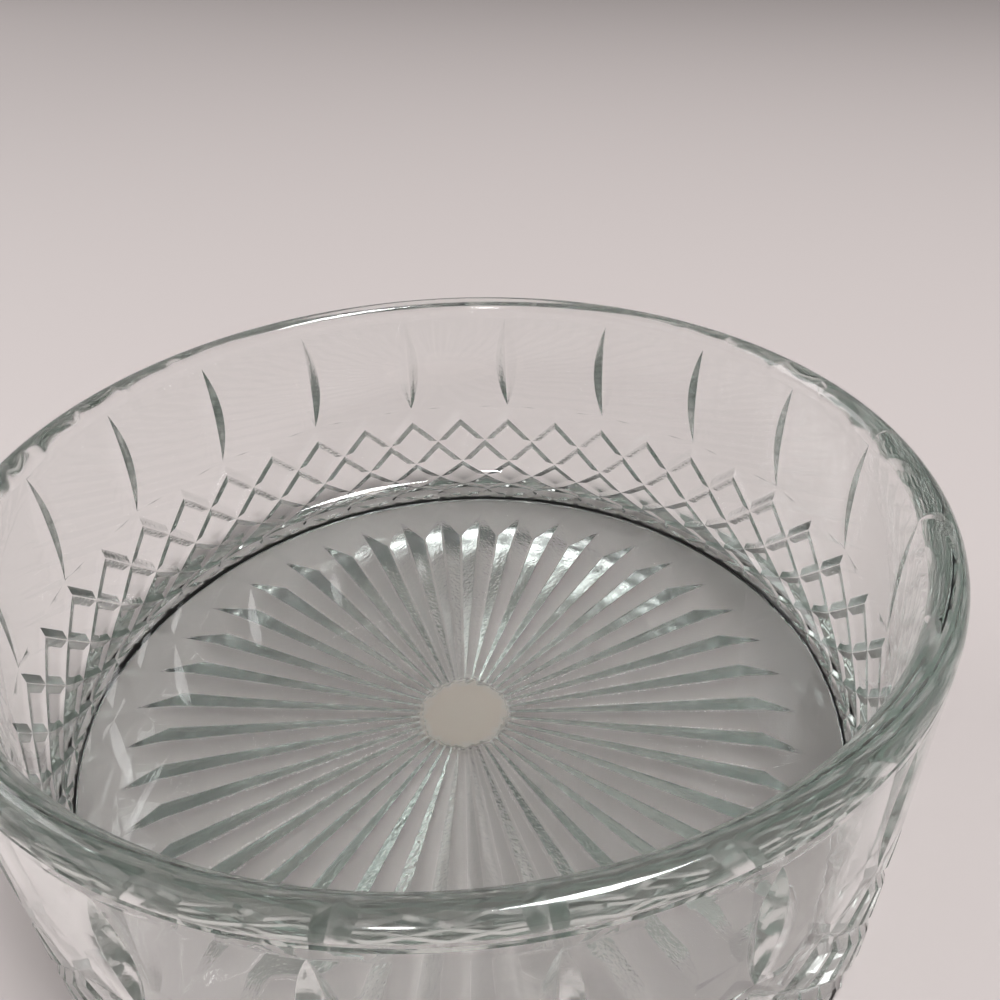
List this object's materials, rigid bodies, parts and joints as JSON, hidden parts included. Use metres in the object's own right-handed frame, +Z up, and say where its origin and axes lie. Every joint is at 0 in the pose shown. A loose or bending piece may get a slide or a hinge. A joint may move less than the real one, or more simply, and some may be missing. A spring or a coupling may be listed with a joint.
{
  "type": "serving bowl",
  "caption": "Low round pressed glass serving bowl with a thick rounded lip, upright cut olives, a diamond band and a ribbed star under its base.",
  "frame": {"origin": "centre of the foot ring, in the plane the bowl rests on", "axes": "+Z up along the bowl's axis, out of its mouth; -Y towards the viewer"},
  "size_m": [0.1474, 0.1474, 0.06],
  "materials": {
    "clear_glass": "clear pressed glass, polished, with a faint grey-green tint"
  },
  "bodies": {
    "root": {"bowl": "clear_glass"}
  },
  "joints": []
}
